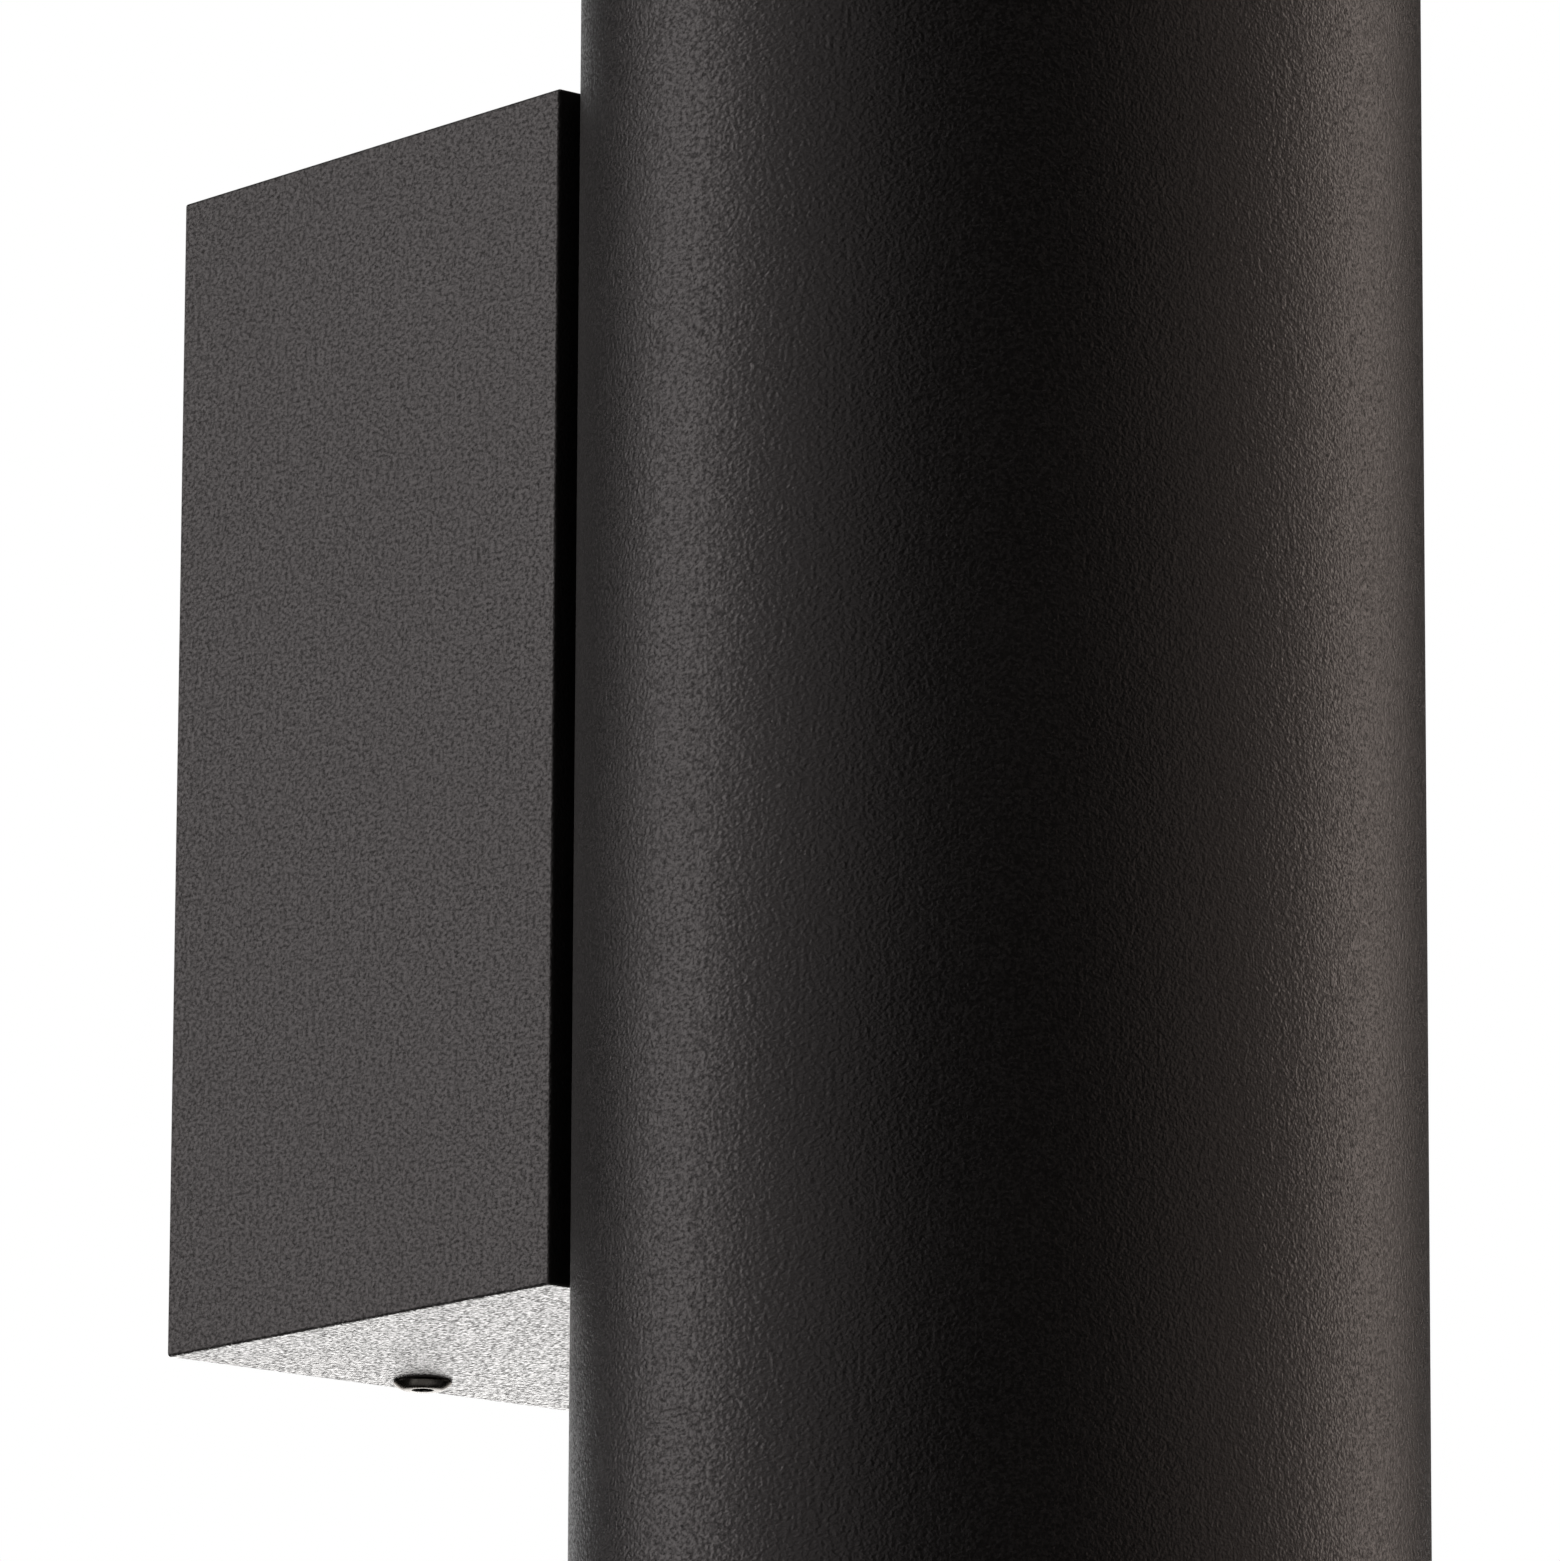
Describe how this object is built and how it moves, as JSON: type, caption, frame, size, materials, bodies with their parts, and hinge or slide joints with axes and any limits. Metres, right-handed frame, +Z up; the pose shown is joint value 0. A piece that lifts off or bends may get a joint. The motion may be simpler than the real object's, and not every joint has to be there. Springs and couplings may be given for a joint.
{
  "type": "wall lamp",
  "caption": "Up-and-down wall lamp: an upright round tube nested in the front of a rectangular wall box, with a twist-lock lamp in each end.",
  "frame": {"origin": "on the wall plane, at the middle of the wall box's open back", "axes": "+X along the wall, +Y into the wall, +Z up along the tube"},
  "size_m": [0.08, 0.13, 0.3],
  "materials": {
    "matt_black": "matt fine-texture powder coat",
    "black_steel": "black oxide, satin",
    "black_sheet": "smooth matt black paint",
    "zinc_steel": "bright zinc plate",
    "spacer_aluminium": "cut extrusion",
    "black_rubber": "matt moulded rubber",
    "holder_ceramic": "unglazed steatite",
    "brass": "plain",
    "lamp_white": "satin moulded plastic",
    "lamp_lens": "frosted moulded lens",
    "nickel": "nickel plate",
    "terminal_plastic": "moulded polyamide",
    "brown_sleeve": "silicone insulation",
    "blue_sleeve": "silicone insulation",
    "green_sleeve": "silicone insulation"
  },
  "bodies": {
    "fixture": {"tube": "matt_black", "wall_box": "matt_black", "wall_bracket": "zinc_steel", "cover_screws": "black_steel", "saddle_spacer": "spacer_aluminium", "lamp_carrier": "black_sheet", "clinch_nuts": "zinc_steel", "tube_screws": "zinc_steel", "lock_washers": "zinc_steel", "wire_bushing": "black_rubber", "cable_grommet": "black_rubber", "holder_upper": "holder_ceramic", "holder_lower": "holder_ceramic", "contact_springs_upper": "brass", "contact_springs_lower": "brass", "holder_screws": "zinc_steel", "holder_nuts": "zinc_steel", "terminal_body": "terminal_plastic", "terminal_clamps": "brass", "terminal_screws": "zinc_steel", "terminal_fixing_screws": "zinc_steel", "live_leads": "brown_sleeve", "neutral_leads": "blue_sleeve", "earth_leads": "green_sleeve", "earth_tags": "brass", "earth_screw": "brass", "earth_washer": "zinc_steel"},
    "lamp_upper": {"lamp_base_upper": "lamp_white", "lamp_shell_upper": "lamp_white", "lamp_lens_upper": "lamp_lens", "lamp_pins_upper": "nickel"},
    "lamp_lower": {"lamp_base_lower": "lamp_white", "lamp_shell_lower": "lamp_white", "lamp_lens_lower": "lamp_lens", "lamp_pins_lower": "nickel"}
  },
  "joints": [
    {"name": "twist_upper", "type": "hinge", "parent": "fixture", "child": "lamp_upper", "pos_m": [0, -0.09, 0.0877], "axis": [0, 0, 1], "range_deg": [0, 40]},
    {"name": "twist_lower", "type": "hinge", "parent": "fixture", "child": "lamp_lower", "pos_m": [0, -0.09, -0.0877], "axis": [0, 0, -1], "range_deg": [0, 40]}
  ]
}
